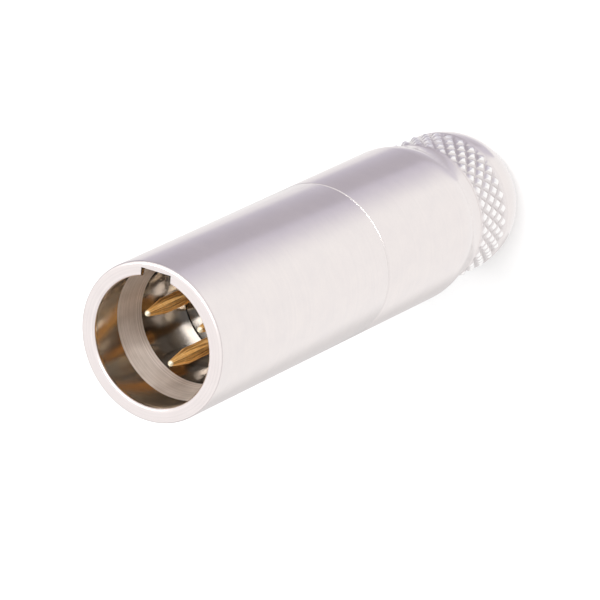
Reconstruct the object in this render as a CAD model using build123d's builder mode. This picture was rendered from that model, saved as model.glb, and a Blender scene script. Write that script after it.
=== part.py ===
"""Three-pin mini XLR cable plug: a keyed metal barrel over three pins, and a screwed handle with a collet.

Frame: millimetres, origin at the middle of the cable end, +Z along the plug towards its mating mouth,
+Y through the keyway. The plug stands on its cable end, with the handle screwed home.
"""

import os
from math import atan2, cos, degrees, radians, sin, sqrt

from build123d import *

# Outside of the two barrels
barrel_radius = 5.0
handle_length = 18.0
rim_chamfer = 0.15
seam_break = 0.06

# Mating mouth, with depths counted from the rim
rim_width = 0.93
lip_length = 0.4
lip_chamfer = 0.1
latch_groove_depth = 0.33
latch_groove_end = 2.92
cone_length = 1.81
floor_depth = 9.3
keyway_width = 2.09
keyway_depth = 0.43

# Insert stack, held in the shell from behind
insert_clearance = 0.05
seat_depth = 10.5
seat_step = 0.19
front_insulator_length = 3.2
rear_insulator_length = 3.4
lug_thickness = 0.3
lug_rim_width = 0.95
lug_tab_width = 1.6
lug_tab_length = 4.6
lug_hole_radius = 0.4
ring_thickness = 0.5
ring_width = 0.9
ring_groove_depth = 0.4
ring_gap_width = 2.4
ring_play = 0.05
ring_land = 0.6
sleeve_wall = 0.4
sleeve_end_gap = 0.1

# Contacts
contact_names = ("contact_1", "contact_2", "contact_3")
contact_bearings = (-70.0, 70.0, 180.0)  # degrees from the keyway, clockwise seen from the mouth
pin_circle = 2.0
pin_radius = 0.475
pin_tip_depth = 2.2
pin_nose_length = 1.8
pin_tip_radius = 0.19
pin_tip_chamfer = 0.1
shank_radius = 0.65
contact_flange_radius = 0.85
contact_flange_length = 0.7
stem_radius = 0.65
stem_length = 7.4
cup_radius = 0.47
cup_depth = 2.4
cup_scoop_length = 1.5
contact_clearance = 0.02

# Screwed joint between the shell and the handle, with plain cylinders standing for the fine thread
handle_wall = 0.55
spigot_wall = 0.35
thread_length = 5.5
thread_clearance = 0.05
thread_chamfer = 0.15
thread_relief_depth = 0.15
thread_relief_length = 0.5
thread_runout = 1.3

# Rear of the handle
knurl_count = 32
knurl_rows = 5
knurl_row_pitch = 0.55
shoulder_drop = 0.4
knurl_depth = 0.2
knurl_root_share = 0.86
knurl_crest_share = 0.5
knurl_start = 3.3
shoulder_length = 2.9
rear_face_width = 0.310531  # gives the dome a radius of 4.0
cable_hole_radius = 2.3
cable_hole_length = 1.4
cable_hole_chamfer = 0.15

# Collet and the handle's inner cone that closes it
knurl_wall = 0.4
chamber_end = 5.0
cone_throat_step = 0.4
collet_clearance = 0.3
collet_cone_clearance = 0.16
collet_end_gap = 0.6
collet_flange_length = 1.0
collet_bore_clearance = 0.1
collet_bore_chamfer = 0.3
finger_count = 4
finger_slot_width = 0.6
finger_length = 7.5
grip_groove_count = 4
grip_groove_pitch = 0.9
grip_groove_width = 0.4
grip_groove_depth = 0.2

# Radii that follow from the sizes above, working inwards
lip_radius = barrel_radius - rim_width
latch_groove_radius = lip_radius + latch_groove_depth
keyway_floor = lip_radius + keyway_depth
handle_thread_radius = barrel_radius - handle_wall
thread_radius = handle_thread_radius - thread_clearance
seat_radius = thread_radius - spigot_wall
bore_radius = seat_radius - seat_step
insert_radius = seat_radius - insert_clearance
lug_inner_radius = insert_radius - lug_rim_width
ring_groove_radius = seat_radius + ring_groove_depth
ring_radius = ring_groove_radius - insert_clearance
knurl_radius = barrel_radius - shoulder_drop
knurl_root_radius = knurl_radius - knurl_depth
chamber_radius = knurl_root_radius - knurl_wall
cone_throat_radius = cable_hole_radius + cone_throat_step
collet_bore_radius = cable_hole_radius + collet_bore_clearance
collet_radius = chamber_radius - collet_clearance
collet_flange_radius = handle_thread_radius - collet_clearance
tail_radius = knurl_radius - knurl_depth / 2
dome_flat_radius = cable_hole_radius + cable_hole_chamfer + rear_face_width
dome_inset = tail_radius - dome_flat_radius
dome_radius = (dome_inset**2 + knurl_start**2) / (2 * dome_inset)
dome_centre_radius = tail_radius - dome_radius

# Heights that follow from the sizes above
seam_z = handle_length
insert_length = front_insulator_length + rear_insulator_length + lug_thickness + ring_thickness
rim_z = seam_z + ring_land + insert_length + seat_depth
lip_z = rim_z - lip_length
cone_top_z = rim_z - latch_groove_end
cone_low_z = cone_top_z - cone_length
floor_z = rim_z - floor_depth
seat_z = rim_z - seat_depth
insulator_joint_z = seat_z - front_insulator_length
lug_top_z = insulator_joint_z - rear_insulator_length
lug_low_z = lug_top_z - lug_thickness
ring_low_z = lug_low_z - ring_thickness
spigot_z = seam_z - thread_length
thread_bore_z = spigot_z - thread_runout
collet_end = cable_hole_length + collet_end_gap
knurl_end = knurl_start + (knurl_rows + 0.5) * knurl_row_pitch
shoulder_end = knurl_end + shoulder_length

os.makedirs("parts", exist_ok=True)


def save(piece, name):
    """Label a finished piece and write its STEP file."""
    piece.label = name
    export_step(piece, f"parts/{name}.step")


def contact_places():
    """Each contact's place on the pin circle, turned so that its solder cup opens outwards."""
    places = []
    for bearing in contact_bearings:
        angle = radians(90.0 - bearing)
        spot = (pin_circle * cos(angle), pin_circle * sin(angle), 0)
        places.append(Location(spot, (0, 0, 90.0 - bearing)))
    return places


# Front shell: one turned piece, with a keyway broached along its mouth
with BuildPart() as front_shell:
    relief_radius = thread_radius - thread_relief_depth
    relief_z = seam_z - thread_relief_length
    with BuildSketch(Plane.XZ):
        with BuildLine():
            Polyline(
                (lip_radius + lip_chamfer, rim_z),
                (barrel_radius, rim_z),
                (barrel_radius, seam_z + seam_break),
                (barrel_radius - seam_break, seam_z),
                (relief_radius, seam_z),
                (relief_radius, relief_z),
                (thread_radius, relief_z - thread_relief_depth),
                (thread_radius, spigot_z + thread_chamfer),
                (thread_radius - thread_chamfer, spigot_z),
                (seat_radius, spigot_z),
                (seat_radius, ring_low_z - ring_play),
                (ring_groove_radius, ring_low_z - ring_play),
                (ring_groove_radius, lug_low_z),
                (seat_radius, lug_low_z),
                (seat_radius, seat_z),
                (bore_radius, seat_z),
                (bore_radius, cone_low_z),
                (latch_groove_radius, cone_top_z),
                (latch_groove_radius, lip_z),
                (lip_radius, lip_z),
                (lip_radius, rim_z - lip_chamfer),
                close=True,
            )
        make_face()
    revolve(axis=Axis.Z)
    rim_edges = front_shell.edges().filter_by(GeomType.CIRCLE).group_by(Axis.Z)[-1]
    chamfer(rim_edges.sort_by(SortBy.RADIUS)[-1], rim_chamfer)
    with BuildSketch(Plane.XY.offset(rim_z)):
        with Locations((0, keyway_floor / 2)):
            Rectangle(keyway_width, keyway_floor)
    extrude(amount=-seat_depth, mode=Mode.SUBTRACT)
save(front_shell.part, "front_shell")

# Front insulator: a boss that fills the bore, with a key in the keyway, on a wider seated body
with BuildPart() as front_insulator:
    with BuildSketch(Plane.XY.offset(insulator_joint_z)):
        Circle(insert_radius)
    extrude(amount=front_insulator_length)
    with BuildSketch(Plane.XY.offset(seat_z)):
        Circle(insert_radius)
        with BuildSketch(mode=Mode.INTERSECT):
            Circle(bore_radius - insert_clearance)
            with Locations((0, keyway_floor / 2)):
                Rectangle(keyway_width - 2 * insert_clearance, keyway_floor)
    extrude(amount=seat_depth - floor_depth)
    with BuildSketch(Plane.XY.offset(insulator_joint_z)):
        with Locations(*contact_places()):
            Circle(shank_radius + contact_clearance)
    extrude(until=Until.LAST, mode=Mode.SUBTRACT)
    with BuildSketch(Plane.XY.offset(insulator_joint_z)):
        with Locations(*contact_places()):
            Circle(contact_flange_radius + contact_clearance)
    extrude(amount=contact_flange_length, mode=Mode.SUBTRACT)
save(front_insulator.part, "front_insulator")

# Rear insulator: a disc that traps the contact flanges
with BuildPart() as rear_insulator:
    with BuildSketch(Plane.XY.offset(lug_top_z)):
        Circle(insert_radius)
        with Locations(*contact_places()):
            Circle(stem_radius + contact_clearance, mode=Mode.SUBTRACT)
    extrude(amount=rear_insulator_length)
save(rear_insulator.part, "rear_insulator")

# Contact: pin, flange and solder cup turned in one piece on its own axis, then placed three times
with BuildPart() as contact:
    tip_z = rim_z - pin_tip_depth
    nose_z = tip_z - pin_nose_length
    flange_top_z = insulator_joint_z + contact_flange_length
    stem_low_z = insulator_joint_z - stem_length
    with BuildSketch(Plane.XZ):
        with BuildLine():
            Polyline(
                (0, tip_z),
                (0, stem_low_z),
                (stem_radius, stem_low_z),
                (stem_radius, insulator_joint_z),
                (contact_flange_radius, insulator_joint_z),
                (contact_flange_radius, flange_top_z),
                (shank_radius, flange_top_z),
                (shank_radius, floor_z),
                (pin_radius, floor_z),
                (pin_radius, nose_z),
                (pin_tip_radius, tip_z - pin_tip_chamfer),
                (pin_tip_radius - pin_tip_chamfer, tip_z),
                close=True,
            )
        make_face()
    revolve(axis=Axis.Z)
    with BuildSketch(Plane.XY.offset(stem_low_z)):
        Circle(cup_radius)
    extrude(amount=cup_depth, mode=Mode.SUBTRACT)
    with BuildSketch(Plane.XY.offset(stem_low_z)):
        with Locations((stem_radius, 0)):
            Rectangle(2 * stem_radius, 2 * stem_radius)
    extrude(amount=cup_scoop_length, mode=Mode.SUBTRACT)
for contact_name, place in zip(contact_names, contact_places()):
    save(contact.part.moved(place), contact_name)

# Ground lug: a pressed washer whose solder tab is bent back from its inner edge
with BuildPart() as ground_lug:
    with BuildSketch(Plane.XY.offset(lug_low_z)):
        Circle(insert_radius)
        Circle(lug_inner_radius, mode=Mode.SUBTRACT)
    extrude(amount=lug_thickness)
    tab_outside = Plane.XZ.offset(-lug_inner_radius - lug_thickness)
    with BuildSketch(tab_outside):
        with Locations((0, lug_top_z)):
            Rectangle(lug_tab_width, lug_tab_length, align=(Align.CENTER, Align.MAX))
        with Locations((0, lug_top_z - lug_tab_length)):
            Circle(lug_tab_width / 2)
            Circle(lug_hole_radius, mode=Mode.SUBTRACT)
    extrude(amount=lug_thickness)
save(ground_lug.part, "ground_lug")

# Retaining ring: an open spring ring in the shell's inner groove
with BuildPart() as retaining_ring:
    with BuildSketch(Plane.XY.offset(ring_low_z)):
        Circle(ring_radius)
        Circle(ring_radius - ring_width, mode=Mode.SUBTRACT)
        with Locations((0, -ring_groove_radius)):
            Rectangle(ring_gap_width, ring_groove_radius, mode=Mode.SUBTRACT)
    extrude(amount=ring_thickness)
save(retaining_ring.part, "retaining_ring")

# Insulating sleeve: a plastic tube round the solder cups, inside the spigot
with BuildPart() as insulating_sleeve:
    with BuildSketch(Plane.XY.offset(spigot_z + sleeve_end_gap)):
        Circle(insert_radius)
        Circle(insert_radius - sleeve_wall, mode=Mode.SUBTRACT)
    extrude(amount=ring_low_z - spigot_z - 2 * sleeve_end_gap)
save(insulating_sleeve.part, "insulating_sleeve")

# Collet: a flanged plastic tube, slotted into fingers with a tapered end, with grip grooves in its bore
with BuildPart() as collet:
    cone_slope = (chamber_radius - cone_throat_radius) / (chamber_end - cable_hole_length)
    collet_end_radius = chamber_radius - (chamber_end - collet_end) * cone_slope - collet_cone_clearance
    taper_z = collet_end + (collet_radius - collet_end_radius) / cone_slope
    flange_z = spigot_z - collet_flange_length
    with BuildSketch(Plane.XZ):
        with BuildLine():
            Polyline(
                (collet_bore_radius, collet_end),
                (collet_end_radius, collet_end),
                (collet_radius, taper_z),
                (collet_radius, flange_z),
                (collet_flange_radius, flange_z),
                (collet_flange_radius, spigot_z),
                (collet_bore_radius + collet_bore_chamfer, spigot_z),
                (collet_bore_radius, spigot_z - collet_bore_chamfer),
                close=True,
            )
        make_face()
        for groove in range(grip_groove_count):
            with Locations((collet_bore_radius, collet_end + (groove + 1) * grip_groove_pitch)):
                Rectangle(2 * grip_groove_depth, grip_groove_width, mode=Mode.SUBTRACT)
    revolve(axis=Axis.Z)
    with BuildSketch(Plane.XY.offset(collet_end)):
        with PolarLocations(collet_radius / 2, finger_count, start_angle=45):
            Rectangle(collet_radius + collet_clearance, finger_slot_width)
    extrude(amount=finger_length, mode=Mode.SUBTRACT)
save(collet.part, "collet")

# One diamond of the knurl: a low pyramid with a flat crest, standing out along +X at mid height zero
with BuildPart() as knurl_diamond:
    half_width = sin(radians(180.0 / knurl_count)) * knurl_radius
    half_height = knurl_row_pitch
    foot_radius = sqrt(knurl_root_radius**2 - half_width**2)
    for offset, share in ((foot_radius, knurl_root_share), (knurl_radius, knurl_crest_share)):
        with BuildSketch(Plane.YZ.offset(offset)):
            with BuildLine():
                Polyline(
                    (share * half_width, 0),
                    (0, share * half_height),
                    (-share * half_width, 0),
                    (0, -share * half_height),
                    close=True,
                )
            make_face()
    loft(ruled=True)

# Handle: a turned barrel with a soft shoulder, a knurled band, a domed tail and a cone for the collet
with BuildPart() as handle:
    bed_radius = knurl_root_radius - knurl_depth
    shoulder_middle = ((barrel_radius + tail_radius) / 2, (shoulder_end + knurl_end) / 2)
    with BuildSketch(Plane.XZ):
        with BuildLine():
            Polyline(
                (barrel_radius, shoulder_end),
                (barrel_radius, seam_z - seam_break),
                (barrel_radius - seam_break, seam_z),
                (handle_thread_radius + thread_chamfer, seam_z),
                (handle_thread_radius, seam_z - thread_chamfer),
                (handle_thread_radius, thread_bore_z),
                (chamber_radius, thread_bore_z),
                (chamber_radius, chamber_end),
                (cone_throat_radius, cable_hole_length),
                (cable_hole_radius, cable_hole_length),
                (cable_hole_radius, cable_hole_chamfer),
                (cable_hole_radius + cable_hole_chamfer, 0),
                (dome_flat_radius, 0),
            )
            dome_turn = degrees(atan2(knurl_start, dome_flat_radius - dome_centre_radius))
            CenterArc((dome_centre_radius, knurl_start), dome_radius, -dome_turn, dome_turn)
            Polyline(
                (tail_radius, knurl_start),
                (bed_radius, knurl_start),
                (bed_radius, knurl_end),
                (tail_radius, knurl_end),
            )
            lower_bend = TangentArc((tail_radius, knurl_end), shoulder_middle, tangent=(0, 1))
            TangentArc(shoulder_middle, (barrel_radius, shoulder_end), tangent=lower_bend % 1)
        make_face()
    revolve(axis=Axis.Z)
    with BuildSketch(Plane.XY.offset(knurl_start)):
        RegularPolygon(knurl_root_radius, 2 * knurl_count)
        Circle((bed_radius + chamber_radius) / 2, mode=Mode.SUBTRACT)
    extrude(amount=knurl_end - knurl_start)
    half_step = 180.0 / knurl_count
    for row in range(knurl_rows):
        row_z = knurl_start + (row + 0.75) * knurl_row_pitch
        turn = half_step * (row % 2)
        with Locations(Location((0, 0, row_z), (0, 0, turn))):
            with PolarLocations(0, knurl_count):
                add(knurl_diamond.part)
save(handle.part, "handle")
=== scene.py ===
"""Looks of the three-pin mini XLR cable plug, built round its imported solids.

Lengths are in millimetres in the tables below and become metres in the meshes. The plug stands on its cable
end with +Z towards the mating mouth and the keyway at +Y.
"""
import math

import bmesh
import bpy
from mathutils import Matrix, Vector


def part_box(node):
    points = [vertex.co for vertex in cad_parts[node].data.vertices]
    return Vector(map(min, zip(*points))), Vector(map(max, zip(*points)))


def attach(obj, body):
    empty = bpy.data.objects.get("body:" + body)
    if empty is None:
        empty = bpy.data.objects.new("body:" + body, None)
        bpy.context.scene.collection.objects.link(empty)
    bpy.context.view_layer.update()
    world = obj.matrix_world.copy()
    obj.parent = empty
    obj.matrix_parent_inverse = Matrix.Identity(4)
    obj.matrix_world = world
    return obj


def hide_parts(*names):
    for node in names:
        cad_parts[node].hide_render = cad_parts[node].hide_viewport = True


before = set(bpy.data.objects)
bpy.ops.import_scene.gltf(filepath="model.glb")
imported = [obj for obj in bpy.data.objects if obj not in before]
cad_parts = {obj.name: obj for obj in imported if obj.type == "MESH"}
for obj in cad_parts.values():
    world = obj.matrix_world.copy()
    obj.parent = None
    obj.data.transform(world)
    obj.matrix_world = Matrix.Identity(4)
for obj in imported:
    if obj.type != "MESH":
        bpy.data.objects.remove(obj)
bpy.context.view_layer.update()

MM = 0.001

# Heights of the plug's main stations and its two widest radii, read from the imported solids
rim_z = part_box("front_shell")[1].z / MM
seam_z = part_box("handle")[1].z / MM
spigot_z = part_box("front_shell")[0].z / MM
floor_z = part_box("front_insulator")[1].z / MM  # bottom of the mouth
joint_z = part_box("front_insulator")[0].z / MM  # underside of the front insulator
stem_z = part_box("contact_1")[0].z / MM  # rear end of the contacts
tip_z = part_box("contact_1")[1].z / MM
barrel_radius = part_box("front_shell")[1].x / MM
insert_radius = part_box("front_insulator")[1].x / MM

# Mating mouth, with depths counted from the rim
rim_round = 0.2
rim_round_span = (75.0, 15.0)  # first and last angle of the rounding, in degrees
lip_radius = 4.07
lip_length = 0.4
lip_chamfer = 0.1
groove_radius = 4.4
groove_end = 2.92
cone_length = 1.81
bore_radius = 3.86
seat_depth = 10.5
seat_radius = 4.05
keyway_width = 2.09
keyway_floor = 4.5

# Spring ring's groove and seam of the shell, with heights counted from the cable end
ring_groove_radius = 4.45
ring_groove_low = 18.55
ring_groove_high = 19.1
seam_break = 0.06

# Small roundings and bevels of the edges, angles in degrees
mouth_edge = 0.04
metal_edge = 0.03
insert_edge = 0.04
least_turn = 25.0  # a profile corner that turns less stays as it is
most_turn = 170.0  # and so does one that turns back on itself
side_share = 0.4  # the share of a corner's shorter side that its rounding may take
bevel_angle = 50.0
sharp_angle = 32.0  # from here on an edge is shaded as sharp
same_point = 1e-5  # points nearer than this are made one

# Fine thread between the shell and the handle
thread_pitch = 0.75
thread_major = 4.42
thread_minor = 4.2
thread_play = 0.03
thread_relief = 0.5
thread_lead = 0.4  # height over which the thread rises at each of its ends
thread_chamfer = 0.15
thread_row = 0.06  # height of one row of faces

# Rear of the handle, with heights counted from the cable end
knurl_count = 32
knurl_row_pitch = 0.55
knurl_rows = 5
knurl_radius = 4.6
knurl_depth = 0.2
knurl_flank = 0.38  # half the width of a groove, as a share of the space from one groove to the next
knurl_start = 3.3
knurl_run_out = 0.3  # height over which the knurl fades at each of its ends
shoulder_length = 2.9
dome_radius = 4.0
cable_hole_radius = 2.3
cable_hole_length = 1.4
cable_hole_round = 0.15
chamber_radius = 4.0
chamber_end = 5.0
throat_radius = 2.7
thread_bore_z = 11.2

# Contacts
pin_circle = 2.0
pin_bearings = {"contact_1": -70.0, "contact_2": 70.0, "contact_3": 180.0}
pin_radius = 0.475
pin_nose_length = 1.8
pin_tip_radius = 0.19
pin_tip_span = (72.0, 8.0)  # first and last angle of the rounding, in degrees
shank_radius = 0.65
flange_radius = 0.85
flange_length = 0.7
stem_radius = 0.65
cup_radius = 0.47
cup_depth = 2.4
cup_scoop = 1.5
contact_clearance = 0.02
insert_play = 0.05
overshoot = 1.0  # how far the tool for a contact's hole stands out of the insert

# Mesh density
ROUND = 256
KEYWAY_COLUMNS = 16
PIN_ROUND = 64
KNURL_CELL = 12  # columns across one diamond
KNURL_ROUND = knurl_count * KNURL_CELL
EDGE_STEPS = 3
BEVEL_STEPS = 2
RIM_STEPS = 4
SHOULDER_STEPS = 10
DOME_STEPS = 28
HOLE_STEPS = 6
TIP_STEPS = 6
FLOOR_SIDES = 96

# Camera, fitted to the photograph
camera_lens = 387.77
camera_place = (191.68, 139.03, 335.48)
camera_right = (0.83666, 0.07625, -0.54240)
camera_up = (-0.25436, 0.93110, -0.26146)
camera_back = (0.48508, 0.35672, 0.79840)
camera_clip = 10.0

# Light: how bright the sky and the table look, two lamps in watts, and the cards that the barrel mirrors
plain_white = (1.0, 1.0, 1.0)
sky_strength = 0.75
table_glow = 1.0
floor_white = (0.85, 0.85, 0.85)
floor_roughness = 0.9
floor_glow = 0.22
floor_radius = 3000.0
key_place = (74.0, 205.0, 362.0)
key_size = (340.0, 56.0)
key_power = 0.95
side_place = (-185.0, 75.0, 346.0)
side_size = (120.0, 120.0)
side_power = 0.28
card_near = 3.0
card_full = 9.0
card_near_share = 0.85
table_far = (40.0, 160.0)
table_far_tone = (0.66, 0.65, 0.66)
# Each card: where its sides meet, the bearing and the soft edge of each side, and its colour
floor_cards = (
    ((2.6, 3.9), 82.0, 66.0, 165.5, 10.0, (0.63, 0.605, 0.70)),
    ((1.5, 4.8), 107.5, 13.0, 153.0, 46.0, (0.82, 0.81, 0.78)),
    ((-0.7, 4.8), 166.0, 14.0, 187.0, 10.0, (0.90, 0.885, 0.90)),
    ((4.2, -2.3), -168.0, 36.0, -84.0, 36.0, (0.75, 0.74, 0.74)),
)

# Tones of the plated metals
nickel_dark = (0.84, 0.785, 0.775)
nickel_light = (0.88, 0.82, 0.80)
# Painted light on the knurl, by radius: painted shade in the grooves and on the flanks, a painted highlight
# on the crests
groove_painted_shade = (0.60, 0.56, 0.56)
flank_tone = (0.78, 0.73, 0.725)
crest_painted_highlight = (1.0, 0.98, 0.97)
knurl_painted_light = ((0.0, groove_painted_shade), (0.25, flank_tone), (0.45, flank_tone), (0.68, crest_painted_highlight))
gold_dark = (0.86, 0.47, 0.14)
gold_light = (0.96, 0.61, 0.25)
# A painted glint: each contact's tip is lightened to pale gold over these heights below its end
tip_painted_glint = (1.0, 0.93, 0.74)
tip_glint_start = 0.22
tip_glint_full = 0.08
streak_tones = ((0.36, (0.42, 0.36, 0.32)), (0.58, (1.0, 1.0, 1.0)))
streak_scale = 5.0
streak_squeeze = 0.12

# Noise in the finishes: how fine the patches, specks and clouds are, and where the two tones lie in it
mottle_per_mm = 0.9
speck_per_mm = 14.0
speck_height = 0.4
speck_share = 0.5
cloud_per_mm = 0.6
tone_span = (0.3, 0.7)
soft_detail = 2.0
fine_detail = 3.0
ring_roughness = 0.6

# Direction in which turned metal smears what it mirrors, a little off the axis
smear_direction = (0.02, 0.01, 1.0)

# Sizes and places that follow from the ones above
relief_z = seam_z - thread_relief
seat_z = rim_z - seat_depth
nose_z = tip_z - pin_nose_length
flange_z = joint_z + flange_length
scoop_half_width = 1.2 * stem_radius
lamp_target = (0.0, 0.0, rim_z)
# The knurl's rows stand in the middle of a band that is half a row longer than they are
knurl_end = knurl_start + (knurl_rows + 0.5) * knurl_row_pitch
knurl_first_row = knurl_start + 0.75 * knurl_row_pitch
tail_radius = knurl_radius - knurl_depth / 2
shoulder_end = knurl_end + shoulder_length


def arc(centre_r, centre_z, radius, start, end, steps):
    """Points along a circular arc of the profile, angles in degrees from +r towards +z."""
    points = []
    for i in range(steps + 1):
        a = math.radians(start + (end - start) * i / steps)
        points.append((centre_r + radius * math.cos(a), centre_z + radius * math.sin(a)))
    return points


def edge_break(profile, size, closed=True):
    """Round each sharp corner of a profile by a small radius, no larger than its sides allow."""
    count = len(profile)
    rounded = []
    for i, entry in enumerate(profile):
        here = Vector(entry[:2])
        if not closed and i in (0, count - 1):
            rounded.append(entry)
            continue
        before = Vector(profile[i - 1][:2])
        after = Vector(profile[(i + 1) % count][:2])
        into, out = here - before, after - here
        turn = into.angle(out, 0.0) if into.length and out.length else 0.0
        if not least_turn <= math.degrees(turn) <= most_turn:
            rounded.append(entry)
            continue
        reach = min(size, side_share * into.length, side_share * out.length)
        start, end = here - into.normalized() * reach, here + out.normalized() * reach
        for s in range(EDGE_STEPS + 1):
            t = s / EDGE_STEPS
            point = start * (1 - t) ** 2 + here * 2 * t * (1 - t) + end * t * t
            rounded.append((point.x, point.y) + tuple(entry[2:]))
    return rounded


def make_object(name, points, faces, marks, finishes):
    """A mesh object from points in millimetres, with a finish for each face."""
    mesh = bpy.data.meshes.new(name)
    mesh.from_pydata([tuple(c * MM for c in p) for p in points], [], faces)
    for finish in finishes:
        mesh.materials.append(finish)
    for face, mark in zip(mesh.polygons, marks):
        face.material_index = mark
    tidy = bmesh.new()
    tidy.from_mesh(mesh)
    bmesh.ops.remove_doubles(tidy, verts=tidy.verts, dist=same_point * MM)
    bmesh.ops.recalc_face_normals(tidy, faces=tidy.faces)
    for face in tidy.faces:
        face.smooth = True
    tidy.to_mesh(mesh)
    tidy.free()
    mesh.set_sharp_from_angle(angle=math.radians(sharp_angle))
    piece = bpy.data.objects.new(name, mesh)
    bpy.context.scene.collection.objects.link(piece)
    return piece


def keep_result(piece):
    """Give a piece the mesh that its modifiers make, and drop the modifiers."""
    seen = bpy.context.evaluated_depsgraph_get()
    done = bpy.data.meshes.new_from_object(piece.evaluated_get(seen))
    piece.modifiers.clear()
    piece.data = done


def bevel_edges(piece, width):
    """Bevel the edges that turn by more than bevel_angle, by a width in millimetres."""
    step = piece.modifiers.new("bevel", "BEVEL")
    step.width = width * MM
    step.segments = BEVEL_STEPS
    step.limit_method = "ANGLE"
    step.angle_limit = math.radians(bevel_angle)
    keep_result(piece)
    piece.data.set_sharp_from_angle(angle=math.radians(sharp_angle))


def combine(piece, tool, operation):
    """Cut a tool out of a piece or join it on, and delete the tool."""
    step = piece.modifiers.new("combine", "BOOLEAN")
    step.operation = operation
    step.solver = "EXACT"
    step.object = tool
    keep_result(piece)
    bpy.data.objects.remove(tool)
    for face in piece.data.polygons:
        face.use_smooth = True
    piece.data.set_sharp_from_angle(angle=math.radians(sharp_angle))


def turned(name, profile, finishes, columns=ROUND, centre=(0.0, 0.0)):
    """A solid of revolution from a closed profile.

    An entry is r and z, then its finish, then perhaps a wave, which gives a cut into the radius by height
    and angle. In a band with a wave on both sides, each quad is split along the diagonal that fits better.
    """
    points, faces, marks, rings, cuts = [], [], [], [], []
    for entry in profile:
        r, z = entry[0], entry[1]
        wave = entry[3] if len(entry) > 3 else None
        steps = columns if r > 0.0 else 1
        ring = []
        cut = []
        for c in range(steps):
            a = 2 * math.pi * c / columns
            depth = wave(z, a) if wave else 0.0
            ring.append(len(points))
            cut.append(depth)
            reach = r - depth
            points.append((centre[0] + reach * math.sin(a), centre[1] + reach * math.cos(a), z))
        rings.append(ring)
        cuts.append(cut if wave else None)
    for i, low in enumerate(rings):
        j = (i + 1) % len(rings)
        high = rings[j]
        if len(low) == 1 and len(high) == 1:
            continue
        for c in range(columns):
            d = (c + 1) % columns
            if len(low) == 1:
                made = [(low[0], high[c], high[d])]
            elif len(high) == 1:
                made = [(low[c], high[0], low[d])]
            elif cuts[i] and cuts[j]:
                middle_z = (profile[i][1] + profile[j][1]) / 2
                middle = profile[i][3](middle_z, 2 * math.pi * (c + 0.5) / columns)
                rising = abs((cuts[i][c] + cuts[j][d]) / 2 - middle)
                falling = abs((cuts[i][d] + cuts[j][c]) / 2 - middle)
                if rising <= falling:
                    made = [(low[c], high[c], high[d]), (low[c], high[d], low[d])]
                else:
                    made = [(low[c], high[c], low[d]), (high[c], high[d], low[d])]
            else:
                made = [(low[c], high[c], high[d], low[d])]
            faces += made
            marks += [profile[i][2]] * len(made)
    return make_object(name, points, faces, marks, finishes)


def keyed(name, mouth, outside, finishes, end_mark):
    """A turned shell with a flat-floored keyway at +Y along its mouth.

    The mouth's profile runs from the seat up to the rim, at the keyway's corner. The outside runs on from
    there round the shell to the seat again. The keyway's sector has the outside alone, closed by its floor.
    """
    half = keyway_width / 2
    points, faces, marks = [], [], []

    def ring(entry, keyway):
        """One ring of points, in the keyway's sector or in the rest of the circle."""
        r, z = entry[0], entry[1]
        wave = entry[3] if len(entry) > 3 else None
        edge = math.asin(half / r)
        start, stop = (-edge, edge) if keyway else (edge, 2 * math.pi - edge)
        steps = KEYWAY_COLUMNS if keyway else ROUND
        made = []
        for c in range(steps + 1):
            a = start + (stop - start) * c / steps
            radius = r - wave(z, a) if wave else r
            made.append(len(points))
            points.append((radius * math.sin(a), radius * math.cos(a), z))
        return made

    def floor_line(z):
        """The keyway floor's edge at one height."""
        made = []
        for c in range(KEYWAY_COLUMNS + 1):
            made.append(len(points))
            points.append((-half + keyway_width * c / KEYWAY_COLUMNS, keyway_floor, z))
        return made

    def strip(first, second, mark):
        """Quads between two lines of points."""
        for c in range(len(first) - 1):
            faces.append((first[c], second[c], second[c + 1], first[c + 1]))
            marks.append(mark)

    # The outside begins at the mouth's last point and ends at its first
    entries = mouth + outside[1:-1]
    main = [ring(entry, keyway=False) for entry in entries]
    for i, entry in enumerate(entries):
        strip(main[i], main[(i + 1) % len(main)], entry[2])
    sector = [ring(entry, keyway=True) for entry in outside[1:]]
    for i in range(len(sector) - 1):
        strip(sector[i], sector[i + 1], outside[i + 1][2])
    top, bottom = floor_line(rim_z), floor_line(outside[-1][1])
    strip(sector[0], top, outside[0][2])
    strip(top, bottom, end_mark)
    strip(bottom, sector[-1], end_mark)
    # Each side wall of the keyway is one face
    for side, corner in ((0, -1), (-1, 0)):
        wall = [main[i][side] for i in range(len(mouth))] + [bottom[corner]]
        faces.append(tuple(wall))
        marks.append(end_mark)
    return make_object(name, points, faces, marks, finishes)


def thread_cut(z, angle):
    """Depth of the right-handed thread below its crest at a height and an angle from +Y."""
    phase = z / thread_pitch + angle / (2 * math.pi)
    return (thread_major - thread_minor) * (0.5 - 0.5 * math.cos(2 * math.pi * phase))


def outer_thread_cut(z, angle):
    """The shell's thread, which sinks to its root at both of its ends."""
    lead = min(1.0, (z - spigot_z) / thread_lead, (relief_z - z) / thread_lead)
    full = thread_major - thread_minor
    return full - (full - thread_cut(z, angle)) * max(0.0, lead)


def inner_thread_cut(z, angle):
    """The handle's thread, which opens to the plain bore at both of its ends."""
    lead = min(1.0, (z - thread_bore_z) / thread_lead, (seam_z - thread_chamfer - z) / thread_lead)
    return thread_cut(z, angle) * max(0.0, lead)


def knurl_cut(z, angle):
    """Depth of the crossed knurl grooves below the crests. They run out to a plain edge at both ends."""
    around = angle * knurl_count / (2 * math.pi)
    along = (z - knurl_first_row) / (2 * knurl_row_pitch)
    deepest = 0.0
    for line in (around + along, around - along):
        from_groove = abs(line % 1.0 - 0.5)
        deepest = max(deepest, 1.0 - from_groove / knurl_flank)
    fade = min(1.0, (z - knurl_start) / knurl_run_out, (knurl_end - z) / knurl_run_out)
    plain = knurl_radius - tail_radius
    return plain + (knurl_depth * max(0.0, deepest) - plain) * max(0.0, fade)


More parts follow.
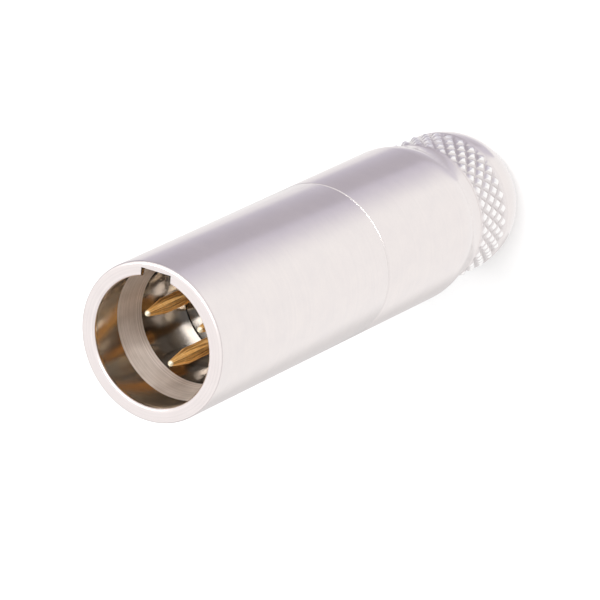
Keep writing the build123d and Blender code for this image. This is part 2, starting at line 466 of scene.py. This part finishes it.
def rows(start, stop, step):
    """Even heights from start to stop, no further apart than step."""
    count = max(1, math.ceil(abs(stop - start) / step))
    return [start + (stop - start) * i / count for i in range(count + 1)]


def add(tree, kind, inputs=(), **settings):
    """A shader node with its settings, and with each input either a value or a link."""
    made = tree.nodes.new(kind)
    for key, value in settings.items():
        setattr(made, key, value)
    for key, value in dict(inputs).items():
        if isinstance(value, bpy.types.NodeSocket):
            tree.links.new(value, made.inputs[key])
        else:
            made.inputs[key].default_value = value
    return made


def math_node(tree, operation, first, second=0.0):
    """The result of one arithmetic step."""
    return add(tree, "ShaderNodeMath", {0: first, 1: second}, operation=operation).outputs[0]


def ramp(tree, fac, stops):
    """A colour ramp between grey values or colours."""
    made = add(tree, "ShaderNodeValToRGB", {"Fac": fac})
    while len(made.color_ramp.elements) < len(stops):
        made.color_ramp.elements.new(0.5)
    for element, (place, colour) in zip(made.color_ramp.elements, stops):
        element.position = place
        element.color = (*colour, 1.0)
    return made.outputs["Color"]


def between(tree, value, low, high):
    """A value from 0 to 1 spread over another span."""
    return add(tree, "ShaderNodeMapRange", {"Value": value, "To Min": low, "To Max": high}).outputs[0]


def share_of_way(tree, value, start, stop):
    """How far a value is on its way from start to stop, from 0 to 1."""
    return add(tree, "ShaderNodeMapRange", {"Value": value, "From Min": start, "From Max": stop}).outputs[0]


def soft_share(tree, value, start, stop, least=0.0):
    """How far a value is on its way from start to stop, eased at both ends, from least to 1."""
    inputs = {"Value": value, "From Min": start, "From Max": stop, "To Min": least}
    return add(tree, "ShaderNodeMapRange", inputs, interpolation_type="SMOOTHSTEP").outputs[0]


def blend(tree, first, second, share):
    """Two values mixed, with a share of the first."""
    return math_node(tree, "ADD", math_node(tree, "MULTIPLY", first, share),
                     math_node(tree, "MULTIPLY", second, 1.0 - share))


def empty_finish(name, **constants):
    """A material with its shader, whose plain constants are set on the shader itself."""
    made = bpy.data.materials.new(name)
    made.use_nodes = True
    shader = made.node_tree.nodes["Principled BSDF"]
    for key, value in constants.items():
        shader.inputs[key.replace("_", " ")].default_value = value
    return made, made.node_tree, shader


def in_millimetres(tree):
    """The piece's own coordinates, in millimetres."""
    here = add(tree, "ShaderNodeTexCoord").outputs["Object"]
    return add(tree, "ShaderNodeVectorMath", {0: here, "Scale": 1 / MM}, operation="SCALE").outputs[0]


def turning_lines(tree, place, per_mm, axis):
    """Fine rings left by a turning tool, a 1-D noise along the height plus the radius from an axis."""
    moved = add(tree, "ShaderNodeVectorMath", {0: place, 1: (-axis[0], -axis[1], 0.0)}).outputs[0]
    parts = add(tree, "ShaderNodeSeparateXYZ", {0: moved})
    flat = add(tree, "ShaderNodeCombineXYZ", {0: parts.outputs[0], 1: parts.outputs[1]}).outputs[0]
    radius = add(tree, "ShaderNodeVectorMath", {0: flat}, operation="LENGTH").outputs["Value"]
    along = math_node(tree, "ADD", radius, parts.outputs[2])
    inputs = {"W": along, "Scale": per_mm, "Detail": fine_detail, "Roughness": ring_roughness}
    return add(tree, "ShaderNodeTexNoise", inputs, noise_dimensions="1D").outputs["Fac"]


def grain(tree, place, per_mm, detail=soft_detail):
    """Even, soft 3-D noise."""
    inputs = {"Vector": place, "Scale": per_mm, "Detail": detail}
    return add(tree, "ShaderNodeTexNoise", inputs).outputs["Fac"]


def turned_metal(name, dark, light, smooth, rough, per_mm, line_share, depth, axis=(0.0, 0.0), spread=0.0):
    """Plated metal with rings from turning, soft mottling and a varying roughness.

    The tone runs from dark to light, the roughness from smooth to rough, and the rings are depth millimetres
    high. A spread above zero also smears what the metal mirrors along the turning axis.
    """
    made, tree, shader = empty_finish(name, Metallic=1.0, Anisotropic=spread)
    if spread:
        x, y, z = smear_direction
        along_axis = add(tree, "ShaderNodeCombineXYZ", {0: x, 1: y, 2: z}).outputs[0]
        tree.links.new(along_axis, shader.inputs["Tangent"])
    place = in_millimetres(tree)
    lines = turning_lines(tree, place, per_mm, axis)
    mottle = grain(tree, place, mottle_per_mm)
    speck = grain(tree, place, speck_per_mm)
    mixed = blend(tree, lines, mottle, line_share)
    low, high = tone_span
    tree.links.new(ramp(tree, mixed, ((low, dark), (high, light))), shader.inputs["Base Color"])
    wear_and_painted_light = blend(tree, speck, mixed, speck_share)
    tree.links.new(between(tree, wear_and_painted_light, smooth, rough), shader.inputs["Roughness"])
    height = math_node(tree, "ADD", lines, math_node(tree, "MULTIPLY", speck, speck_height))
    bump = add(tree, "ShaderNodeBump", {"Height": height, "Strength": 1.0, "Distance": depth * MM})
    tree.links.new(bump.outputs[0], shader.inputs["Normal"])
    return made


def moulded_plastic(name, dark, light, smooth, rough, per_mm, depth, **constants):
    """Moulded plastic with a fine spark-eroded grain, depth millimetres high."""
    made, tree, shader = empty_finish(name, **constants)
    place = in_millimetres(tree)
    fine = grain(tree, place, per_mm, fine_detail)
    cloudy = grain(tree, place, cloud_per_mm)
    low, high = tone_span
    tree.links.new(ramp(tree, cloudy, ((low, dark), (high, light))), shader.inputs["Base Color"])
    tree.links.new(between(tree, fine, smooth, rough), shader.inputs["Roughness"])
    bump = add(tree, "ShaderNodeBump", {"Height": fine, "Strength": 1.0, "Distance": depth * MM})
    tree.links.new(bump.outputs[0], shader.inputs["Normal"])
    return made


def knurl_metal(name):
    """Plated knurl with painted light by radius: a painted highlight on the crests and painted shade on the
    flanks and grooves, plain at both ends of the band.
    """
    made = turned_metal(name, nickel_dark, nickel_light, smooth=0.18, rough=0.26, per_mm=5.0, line_share=0.3,
                        depth=0.0004)
    tree = made.node_tree
    shader = tree.nodes["Principled BSDF"]
    parts = add(tree, "ShaderNodeSeparateXYZ", {0: in_millimetres(tree)})
    flat = add(tree, "ShaderNodeCombineXYZ", {0: parts.outputs[0], 1: parts.outputs[1]}).outputs[0]
    radius = add(tree, "ShaderNodeVectorMath", {0: flat}, operation="LENGTH").outputs["Value"]
    height = share_of_way(tree, radius, knurl_radius - knurl_depth, knurl_radius)
    # Painted shade in the knurl's grooves and a painted highlight on its crests, by radius
    wear_and_painted_light = ramp(tree, height, knurl_painted_light)
    low = share_of_way(tree, parts.outputs[2], knurl_start, knurl_start + knurl_run_out)
    high = share_of_way(tree, parts.outputs[2], knurl_end, knurl_end - knurl_run_out)
    within = math_node(tree, "MULTIPLY", low, high)
    mixed = add(tree, "ShaderNodeMix", {0: within, 6: (*nickel_dark, 1.0), 7: wear_and_painted_light}, data_type="RGBA")
    tree.links.new(mixed.outputs[2], shader.inputs["Base Color"])
    return made


def gold_plate(name, spot):
    """Gold plate on drawn wire: faint streaks run along the contact, round its own axis, and a painted glint
    pales its tip.
    """
    made = turned_metal(name, gold_dark, gold_light, smooth=0.42, rough=0.50, per_mm=7.0, line_share=0.6,
                        depth=0.0006, axis=spot, spread=0.97)
    tree = made.node_tree
    shader = tree.nodes["Principled BSDF"]
    plain = shader.inputs["Base Color"].links[0].from_socket
    place = in_millimetres(tree)
    moved = add(tree, "ShaderNodeVectorMath", {0: place, 1: (-spot[0], -spot[1], 0.0)}).outputs[0]
    flat = add(tree, "ShaderNodeVectorMath", {0: moved, 1: (1.0, 1.0, 0.0)}, operation="MULTIPLY").outputs[0]
    around = add(tree, "ShaderNodeVectorMath", {0: flat}, operation="NORMALIZE").outputs[0]
    drawn_out = (0.0, 0.0, streak_squeeze)
    high = add(tree, "ShaderNodeVectorMath", {0: moved, 1: drawn_out}, operation="MULTIPLY").outputs[0]
    spot_on_rod = add(tree, "ShaderNodeVectorMath", {0: around, 1: high}).outputs[0]
    streaks = ramp(tree, grain(tree, spot_on_rod, streak_scale, fine_detail), streak_tones)
    drawn = add(tree, "ShaderNodeVectorMath", {0: plain, 1: streaks}, operation="MULTIPLY").outputs[0]
    height = add(tree, "ShaderNodeSeparateXYZ", {0: moved}).outputs[2]
    # Painted glint: the tip is lightened towards pale gold
    tip = share_of_way(tree, height, tip_z - tip_glint_start, tip_z - tip_glint_full)
    wear_and_painted_light = add(tree, "ShaderNodeMix", {0: tip, 6: drawn, 7: (*tip_painted_glint, 1.0)}, data_type="RGBA").outputs[2]
    tree.links.new(wear_and_painted_light, shader.inputs["Base Color"])
    return made


# Finishes of the metal barrels and the moulded inserts
satin = turned_metal("satin_nickel", nickel_dark, nickel_light, smooth=0.17, rough=0.23, per_mm=5.0,
                     line_share=0.35, depth=0.0002)
rim_finish = turned_metal("rim_nickel", (0.82, 0.75, 0.74), (0.90, 0.83, 0.815), smooth=0.20, rough=0.30,
                          per_mm=7.0, line_share=0.7, depth=0.0008)
# The bore's nickel is darker and browner than the outside, painted shade
polished = turned_metal("polished_nickel", (0.58, 0.515, 0.45), (0.67, 0.60, 0.54), smooth=0.12, rough=0.15,
                        per_mm=6.0, line_share=0.8, depth=0.0001, spread=0.6)
# The groove's nickel is tinted gold, a painted reflection of the gold contacts
grooved = turned_metal("grooved_nickel", (0.95, 0.78, 0.59), (1.0, 0.87, 0.70), smooth=0.17, rough=0.21,
                       per_mm=6.0, line_share=0.6, depth=0.0003, spread=0.85)
# The cone ring's nickel is darker and browner than the outside, painted shade
machined = turned_metal("machined_nickel", (0.53, 0.45, 0.39), (0.84, 0.75, 0.69), smooth=0.46, rough=0.60,
                        per_mm=9.0, line_share=0.6, depth=0.003, spread=0.88)
# A darker copy of the nickel for inner faces; on the shell's outer seam chamfer it is painted shade
inside = turned_metal("inside_nickel", (0.62, 0.59, 0.56), (0.72, 0.69, 0.66), smooth=0.22, rough=0.34,
                      per_mm=8.0, line_share=0.8, depth=0.002)
knurled = knurl_metal("knurled_nickel")
black = moulded_plastic("black_moulding", (0.012, 0.012, 0.013), (0.022, 0.022, 0.023),
                        smooth=0.42, rough=0.58, per_mm=12.0, depth=0.004)
glossy_black = moulded_plastic("glossy_black_moulding", (0.014, 0.014, 0.014), (0.024, 0.024, 0.024),
                               smooth=0.04, rough=0.08, per_mm=9.0, depth=0.0005, IOR=2.2)


def box_tool(low, high, place):
    """A box between two corners, turned and moved by a matrix in millimetres."""
    corners = [(x, y, z) for x in (low[0], high[0]) for y in (low[1], high[1]) for z in (low[2], high[2])]
    points = [place @ Vector(corner) for corner in corners]
    faces = [(0, 1, 3, 2), (4, 6, 7, 5), (0, 4, 5, 1), (2, 3, 7, 6), (0, 2, 6, 4), (1, 5, 7, 3)]
    return make_object("tool", points, faces, [0] * len(faces), [])


def settle(piece, body, node):
    """Let a piece ride with its body in its solid's place."""
    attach(piece, body)
    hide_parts(node)


def front_barrel():
    """The shell: keyed and grooved mouth, deep bore, satin outside and threaded spigot."""
    satin_face, rim_face, polished_face, grooved_face, machined_face, inner_face = range(6)
    corner_radius = math.hypot(keyway_width / 2, keyway_floor)
    cone_top = rim_z - groove_end
    lip_z = rim_z - lip_length
    mouth = [
        (seat_radius, seat_z, inner_face),
        (bore_radius, seat_z, polished_face),
        (bore_radius, cone_top - cone_length, machined_face),
        (groove_radius, cone_top, grooved_face),
        (groove_radius, lip_z, grooved_face),
        (lip_radius, lip_z, grooved_face),
        (lip_radius, rim_z - lip_chamfer, rim_face),
        (lip_radius + lip_chamfer, rim_z, rim_face),
        (corner_radius, rim_z, rim_face),
    ]
    spigot_rows = rows(relief_z, spigot_z + thread_chamfer, thread_row)
    outside = [
        (corner_radius, rim_z, rim_face),
        (barrel_radius - rim_round, rim_z, rim_face),
    ]
    corner = arc(barrel_radius - rim_round, rim_z - rim_round, rim_round, *rim_round_span, RIM_STEPS)
    outside += [(r, z, rim_face) for r, z in corner]
    outside += [
        (barrel_radius, rim_z - rim_round, satin_face),
        # The seam's outer chamfer takes the darker inner finish, a painted shade line
        (barrel_radius, seam_z + seam_break, inner_face),
        (barrel_radius - seam_break, seam_z, inner_face),
        (thread_minor, seam_z, inner_face),
    ]
    outside += [(thread_major, z, inner_face, outer_thread_cut) for z in spigot_rows]
    outside += [
        (thread_minor, spigot_z, inner_face),
        (seat_radius, spigot_z, inner_face),
        (seat_radius, ring_groove_low, inner_face),
        (ring_groove_radius, ring_groove_low, inner_face),
        (ring_groove_radius, ring_groove_high, inner_face),
        (seat_radius, ring_groove_high, inner_face),
        (seat_radius, seat_z, inner_face),
    ]
    finishes = [satin, rim_finish, polished, grooved, machined, inside]
    mouth = edge_break(mouth, mouth_edge, closed=False)
    outside = edge_break(outside, metal_edge, closed=False)
    piece = keyed("front_barrel", mouth, outside, finishes, polished_face)
    bevel_edges(piece, metal_edge)
    settle(piece, "front", "front_shell")


def screwed_handle():
    """The handle: shoulder, knurled band, domed tail and threaded mouth."""
    satin_face, knurl_face, inner_face = range(3)
    reach = (barrel_radius - tail_radius) / 2
    rise = shoulder_length / 2
    bend = (reach**2 + rise**2) / (2 * reach)
    sweep = math.degrees(math.asin(rise / bend))
    dome_middle = tail_radius - dome_radius
    dome_turn = math.degrees(math.asin(knurl_start / dome_radius))
    hole = cable_hole_radius
    corner = cable_hole_round
    upper_bend = arc(barrel_radius - bend, shoulder_end, bend, 0, -sweep, SHOULDER_STEPS)
    lower_bend = arc(tail_radius + bend, knurl_end, bend, 180 - sweep, 180, SHOULDER_STEPS)
    knurl_heights = rows(knurl_end, knurl_start, 2 * knurl_row_pitch / KNURL_CELL)
    dome = arc(dome_middle, knurl_start, dome_radius, 0, -dome_turn, DOME_STEPS)
    hole_round = arc(hole + corner, corner, corner, 270, 180, HOLE_STEPS)
    thread_heights = rows(thread_bore_z, seam_z - thread_chamfer, thread_row)
    thread_bore = thread_major + thread_play
    profile = [
        (barrel_radius - seam_break, seam_z, satin_face),
        (barrel_radius, seam_z - seam_break, satin_face),
    ]
    profile += [(r, z, satin_face) for r, z in upper_bend + lower_bend[1:-1]]
    profile += [(knurl_radius, z, knurl_face, knurl_cut) for z in knurl_heights]
    profile += [(r, z, satin_face) for r, z in dome[1:] + hole_round]
    profile += [
        (hole, cable_hole_length, inner_face),
        (throat_radius, cable_hole_length, inner_face),
        (chamber_radius, chamber_end, inner_face),
        (chamber_radius, thread_bore_z, inner_face),
    ]
    profile += [(thread_bore, z, inner_face, inner_thread_cut) for z in thread_heights]
    profile += [(thread_bore + thread_chamfer, seam_z, inner_face)]
    piece = turned("screwed_handle", edge_break(profile, metal_edge), [satin, knurled, inside], KNURL_ROUND)
    settle(piece, "grip", "handle")


def pin_spot(bearing):
    """The middle of a contact, from its bearing in degrees from the keyway."""
    turn = math.radians(bearing)
    return pin_circle * math.sin(turn), pin_circle * math.cos(turn)


def gold_contact(node, bearing):
    """One contact: rounded pin, shank, flange and scooped solder cup on its own axis."""
    spot = pin_spot(bearing)
    profile = [(0.0, tip_z, 0)]
    tip = arc(0.0, tip_z - pin_tip_radius, pin_tip_radius, *pin_tip_span, TIP_STEPS)
    profile += [(r, z, 0) for r, z in tip]
    profile += [
        (pin_radius, nose_z, 0),
        (pin_radius, floor_z, 0),
        (shank_radius, floor_z, 0),
        (shank_radius, flange_z, 0),
        (flange_radius, flange_z, 0),
        (flange_radius, joint_z, 0),
        (stem_radius, joint_z, 0),
        (stem_radius, stem_z, 0),
        (cup_radius, stem_z, 0),
        (cup_radius, stem_z + cup_depth, 0),
        (0.0, stem_z + cup_depth, 0),
    ]
    name = node.replace("contact", "pin")
    gold = gold_plate("gold_" + name, spot)
    piece = turned(name, edge_break(profile, metal_edge), [gold], PIN_ROUND, spot)
    outward = math.pi / 2 - math.radians(bearing)
    place = Matrix.Translation((*spot, 0.0)) @ Matrix.Rotation(outward, 4, "Z")
    low = (0.0, -scoop_half_width, stem_z - cup_scoop)
    high = (2 * stem_radius, scoop_half_width, stem_z + cup_scoop)
    combine(piece, box_tool(low, high, place), "DIFFERENCE")
    settle(piece, "front", node)


def insert():
    """The moulded insert: wide body, boss that fills the bore, key, and stepped holes for the contacts."""
    body_radius = bore_radius - insert_play
    profile = [
        (0.0, joint_z, 0),
        (insert_radius, joint_z, 0),
        (insert_radius, seat_z, 0),
        (body_radius, seat_z, 0),
        (body_radius, floor_z, 0),
        (0.0, floor_z, 0),
    ]
    piece = turned("insert", profile, [glossy_black])
    half_key = keyway_width / 2 - insert_play
    key = box_tool((-half_key, 0.0, seat_z), (half_key, keyway_floor - insert_play, floor_z), Matrix())
    combine(piece, key, "UNION")
    wide = flange_radius + contact_clearance
    narrow = shank_radius + contact_clearance
    hole = [
        (0.0, joint_z - overshoot, 0),
        (wide, joint_z - overshoot, 0),
        (wide, flange_z, 0),
        (narrow, flange_z, 0),
        (narrow, floor_z + overshoot, 0),
        (0.0, floor_z + overshoot, 0),
    ]
    for bearing in pin_bearings.values():
        combine(piece, turned("tool", hole, [], PIN_ROUND, pin_spot(bearing)), "DIFFERENCE")
    bevel_edges(piece, insert_edge)
    settle(piece, "front", "front_insulator")


front_barrel()
screwed_handle()
for contact_node, contact_bearing in pin_bearings.items():
    gold_contact(contact_node, contact_bearing)
insert()


def dress(node, finish):
    """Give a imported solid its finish."""
    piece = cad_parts[node]
    for holder in piece.material_slots:
        holder.material = finish


dress("rear_insulator", black)
dress("collet", moulded_plastic("collet_moulding", (0.028, 0.028, 0.030), (0.045, 0.045, 0.047),
                                smooth=0.38, rough=0.5, per_mm=10.0, depth=0.004))
dress("insulating_sleeve", moulded_plastic("natural_nylon", (0.72, 0.70, 0.64), (0.80, 0.78, 0.72),
                                           smooth=0.3, rough=0.42, per_mm=8.0, depth=0.003))
dress("ground_lug", turned_metal("tinned", (0.62, 0.61, 0.58), (0.74, 0.73, 0.70), smooth=0.28, rough=0.45,
                                 per_mm=2.0, line_share=0.2, depth=0.002))
dress("retaining_ring", turned_metal("spring_steel", (0.22, 0.22, 0.23), (0.36, 0.36, 0.37), smooth=0.25,
                                     rough=0.4, per_mm=4.0, line_share=0.4, depth=0.002))


def soft_card(tree, place, under, apex, low, low_edge, high, high_edge, colour):
    """A card seen in the reflections: a sector of the floor round an apex, which tints what is under it.

    It grows fainter towards its apex, so that the shoulder and the dome mirror less of it than the barrels.
    """
    moved = add(tree, "ShaderNodeVectorMath", {0: place, 1: (-apex[0], -apex[1], 0.0)}).outputs[0]
    spun = add(tree, "ShaderNodeVectorRotate", {"Vector": moved, "Angle": -math.radians((low + high) / 2)},
               rotation_type="Z_AXIS").outputs[0]
    parts = add(tree, "ShaderNodeSeparateXYZ", {0: spun})
    angle = math_node(tree, "ARCTAN2", parts.outputs[1], parts.outputs[0])
    half_width = (high - low) / 2
    rising = soft_share(tree, angle, math.radians(-half_width - low_edge / 2),
                        math.radians(-half_width + low_edge / 2))
    falling = soft_share(tree, angle, math.radians(half_width + high_edge / 2),
                         math.radians(half_width - high_edge / 2))
    across = math_node(tree, "MULTIPLY", rising, falling)
    away = add(tree, "ShaderNodeVectorMath", {0: moved}, operation="LENGTH").outputs["Value"]
    along = soft_share(tree, away, card_near, card_full, card_near_share)
    cover = math_node(tree, "MULTIPLY", across, along)
    tint = ramp(tree, cover, ((0.0, plain_white), (1.0, colour)))
    return add(tree, "ShaderNodeVectorMath", {0: under, 1: tint}, operation="MULTIPLY").outputs[0]


def floor():
    """A plain white floor, which gloss and clear pieces see as a white table with soft cards laid on it."""
    bpy.ops.mesh.primitive_circle_add(vertices=FLOOR_SIDES, radius=floor_radius * MM, fill_type="NGON")
    sheet = bpy.context.object
    sheet.name = "floor"
    made, tree, shader = empty_finish("white_floor", Base_Color=(*floor_white, 1.0),
                                      Roughness=floor_roughness, Emission_Color=(*plain_white, 1.0))
    place = in_millimetres(tree)
    bare = add(tree, "ShaderNodeRGB")
    bare.outputs[0].default_value = (*plain_white, 1.0)
    tone = bare.outputs[0]
    for card in floor_cards:
        tone = soft_card(tree, place, tone, *card)
    away = add(tree, "ShaderNodeVectorMath", {0: place}, operation="LENGTH").outputs["Value"]
    far = soft_share(tree, away, *table_far)
    dimmed = ramp(tree, far, ((0.0, plain_white), (1.0, table_far_tone)))
    tone = add(tree, "ShaderNodeVectorMath", {0: tone, 1: dimmed}, operation="MULTIPLY").outputs[0]
    glow = add(tree, "ShaderNodeEmission", {"Color": tone, "Strength": table_glow}).outputs[0]
    path = add(tree, "ShaderNodeLightPath").outputs
    tree.links.new(between(tree, path["Is Camera Ray"], 0.0, floor_glow), shader.inputs["Emission Strength"])
    mirrored = math_node(tree, "MAXIMUM", path["Is Glossy Ray"], path["Is Transmission Ray"])
    both = add(tree, "ShaderNodeMixShader", {0: mirrored, 1: shader.outputs[0], 2: glow}).outputs[0]
    tree.links.new(both, tree.nodes["Material Output"].inputs["Surface"])
    made.cycles.emission_sampling = "NONE"  # its glow is there to be seen and mirrored, and lights nothing
    sheet.data.materials.append(made)


def sky():
    """An even pale sky, pure white to the camera and in the reflections."""
    world = bpy.data.worlds.new("pale_sky")
    world.use_nodes = True
    bpy.context.scene.world = world
    tree = world.node_tree
    back = tree.nodes["Background"]
    path = add(tree, "ShaderNodeLightPath").outputs
    seen = math_node(tree, "MAXIMUM", path["Is Camera Ray"], path["Is Transmission Ray"])
    seen = math_node(tree, "MAXIMUM", seen, path["Is Glossy Ray"])
    tree.links.new(between(tree, seen, sky_strength, 1.0), back.inputs["Strength"])
    back.inputs["Color"].default_value = (*plain_white, 1.0)


def soft_lamp(name, place, target, size, power):
    """A soft box, of a width and a height, that looks at a point, with places in millimetres."""
    light = bpy.data.lights.new(name, "AREA")
    light.shape = "RECTANGLE"
    light.size = size[0] * MM
    light.size_y = size[1] * MM
    light.energy = power
    lamp = bpy.data.objects.new(name, light)
    bpy.context.scene.collection.objects.link(lamp)
    where = Vector(place) * MM
    lamp.location = where
    lamp.rotation_euler = (Vector(target) * MM - where).to_track_quat("-Z", "Y").to_euler()


def camera():
    """The photograph's view, down into the mouth from the keyway's side."""
    view = bpy.data.cameras.new("camera")
    view.lens = camera_lens
    view.clip_start = camera_clip * MM
    holder = bpy.data.objects.new("camera", view)
    bpy.context.scene.collection.objects.link(holder)
    columns = Matrix((camera_right, camera_up, camera_back)).transposed().to_4x4()
    holder.matrix_world = Matrix.Translation(Vector(camera_place) * MM) @ columns
    bpy.context.scene.camera = holder


floor()
sky()
soft_lamp("key", key_place, lamp_target, key_size, key_power)
soft_lamp("side", side_place, lamp_target, side_size, side_power)
camera()
bpy.context.scene.view_settings.view_transform = "Standard"
